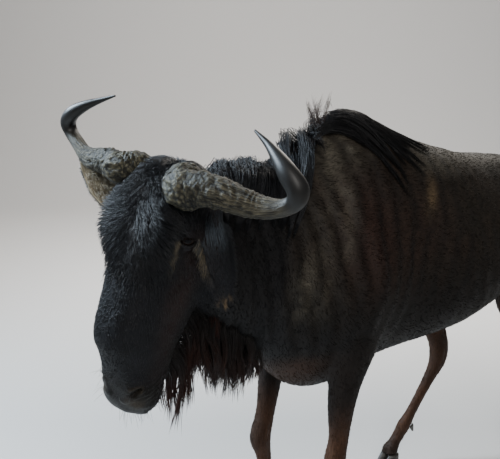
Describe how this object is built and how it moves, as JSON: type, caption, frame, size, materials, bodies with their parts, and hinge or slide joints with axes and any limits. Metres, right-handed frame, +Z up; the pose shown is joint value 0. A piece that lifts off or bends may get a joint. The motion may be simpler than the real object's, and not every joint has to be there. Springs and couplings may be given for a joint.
{
  "type": "wildebeest figure",
  "caption": "Life-size blue wildebeest bull standing with its head lowered, hooked horns, mane, beard and tufted tail.",
  "frame": {"origin": "middle of the model's footprint box, on the floor the hooves stand on", "axes": "+Z up, +Y towards the tail, +X to the animal's left"},
  "size_m": [0.809, 2.0828, 1.4615],
  "materials": {
    "coat": "short dark grey-brown coat with darker upright bands, slightly glossy",
    "face": "black hair with a bluish sheen",
    "ear": "short dark hair outside, pale cream inside",
    "leg_coat": "short red-brown hair",
    "tail_hair": "long black hair",
    "horn": "rough grey-brown boss, darker and smoother towards a glossy tip",
    "hoof": "dark horn, satin",
    "eye": "wet, glossy, dark brown"
  },
  "bodies": {
    "root": {"head": "face", "neck": "coat", "torso": "coat", "tail": "tail_hair", "horn_left": "horn", "eye_left": "eye", "ear_left": "ear", "horn_right": "horn", "eye_right": "eye", "ear_right": "ear", "foreleg_left": "leg_coat", "foreleg_left_claw_outer": "hoof", "foreleg_left_dewclaw_outer": "hoof", "foreleg_left_claw_inner": "hoof", "foreleg_left_dewclaw_inner": "hoof", "foreleg_right": "leg_coat", "foreleg_right_claw_outer": "hoof", "foreleg_right_dewclaw_outer": "hoof", "foreleg_right_claw_inner": "hoof", "foreleg_right_dewclaw_inner": "hoof", "hindleg_left": "leg_coat", "hindleg_left_claw_outer": "hoof", "hindleg_left_dewclaw_outer": "hoof", "hindleg_left_claw_inner": "hoof", "hindleg_left_dewclaw_inner": "hoof", "hindleg_right": "leg_coat", "hindleg_right_claw_outer": "hoof", "hindleg_right_dewclaw_outer": "hoof", "hindleg_right_claw_inner": "hoof", "hindleg_right_dewclaw_inner": "hoof"}
  },
  "joints": []
}
